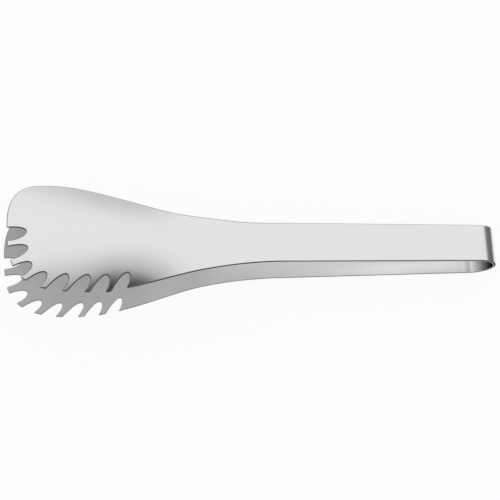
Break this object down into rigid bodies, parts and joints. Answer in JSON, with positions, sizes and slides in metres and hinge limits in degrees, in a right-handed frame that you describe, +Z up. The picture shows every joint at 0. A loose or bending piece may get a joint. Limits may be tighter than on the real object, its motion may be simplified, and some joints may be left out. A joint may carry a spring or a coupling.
{
  "type": "serving tongs",
  "caption": "Sprung steel serving tongs: a bow with flat handles that end in shallow spoon heads, each with a toothed rim to grip pasta, salad or vegetables.",
  "frame": {"origin": "under the middle of the tongs' box, on the table that they lie on", "axes": "+X from the heads towards the bow, +Z up from the table, the toothed rims towards -Y; the tongs lie on their lower arm, on the bow's underside and the lower head's belly"},
  "size_m": [0.2524, 0.0544, 0.0616],
  "materials": {
    "spring_bow_steel": "satin, with a fine grain along the strip",
    "upper_handle_steel": "satin, with a fine grain along the strip",
    "upper_head_steel": "satin, with a fine grain along the strip",
    "lower_handle_steel": "satin, with a fine grain along the strip",
    "lower_head_steel": "satin, with a fine grain along the strip"
  },
  "bodies": {
    "bow": {"spring_bow": "spring_bow_steel"},
    "upper_arm": {"upper_handle": "upper_handle_steel", "upper_head": "upper_head_steel"},
    "lower_arm": {"lower_handle": "lower_handle_steel", "lower_head": "lower_head_steel"}
  },
  "joints": [
    {"name": "upper_squeeze", "type": "hinge", "parent": "bow", "child": "upper_arm", "pos_m": [0.11621, -0.00021, 0.02185], "axis": [0, -1, 0], "range_deg": [-3, 5.2], "stiffness_Nm_per_rad": 9, "springref_deg": -0.74},
    {"name": "lower_squeeze", "type": "hinge", "parent": "bow", "child": "lower_arm", "pos_m": [0.11423, -0.00021, 0.00076], "axis": [0, 1, 0], "range_deg": [-3, 5.2], "stiffness_Nm_per_rad": 9, "springref_deg": -0.74}
  ],
  "couplings": [
    {"joint": "lower_squeeze", "follows": "upper_squeeze", "ratio": 1}
  ]
}
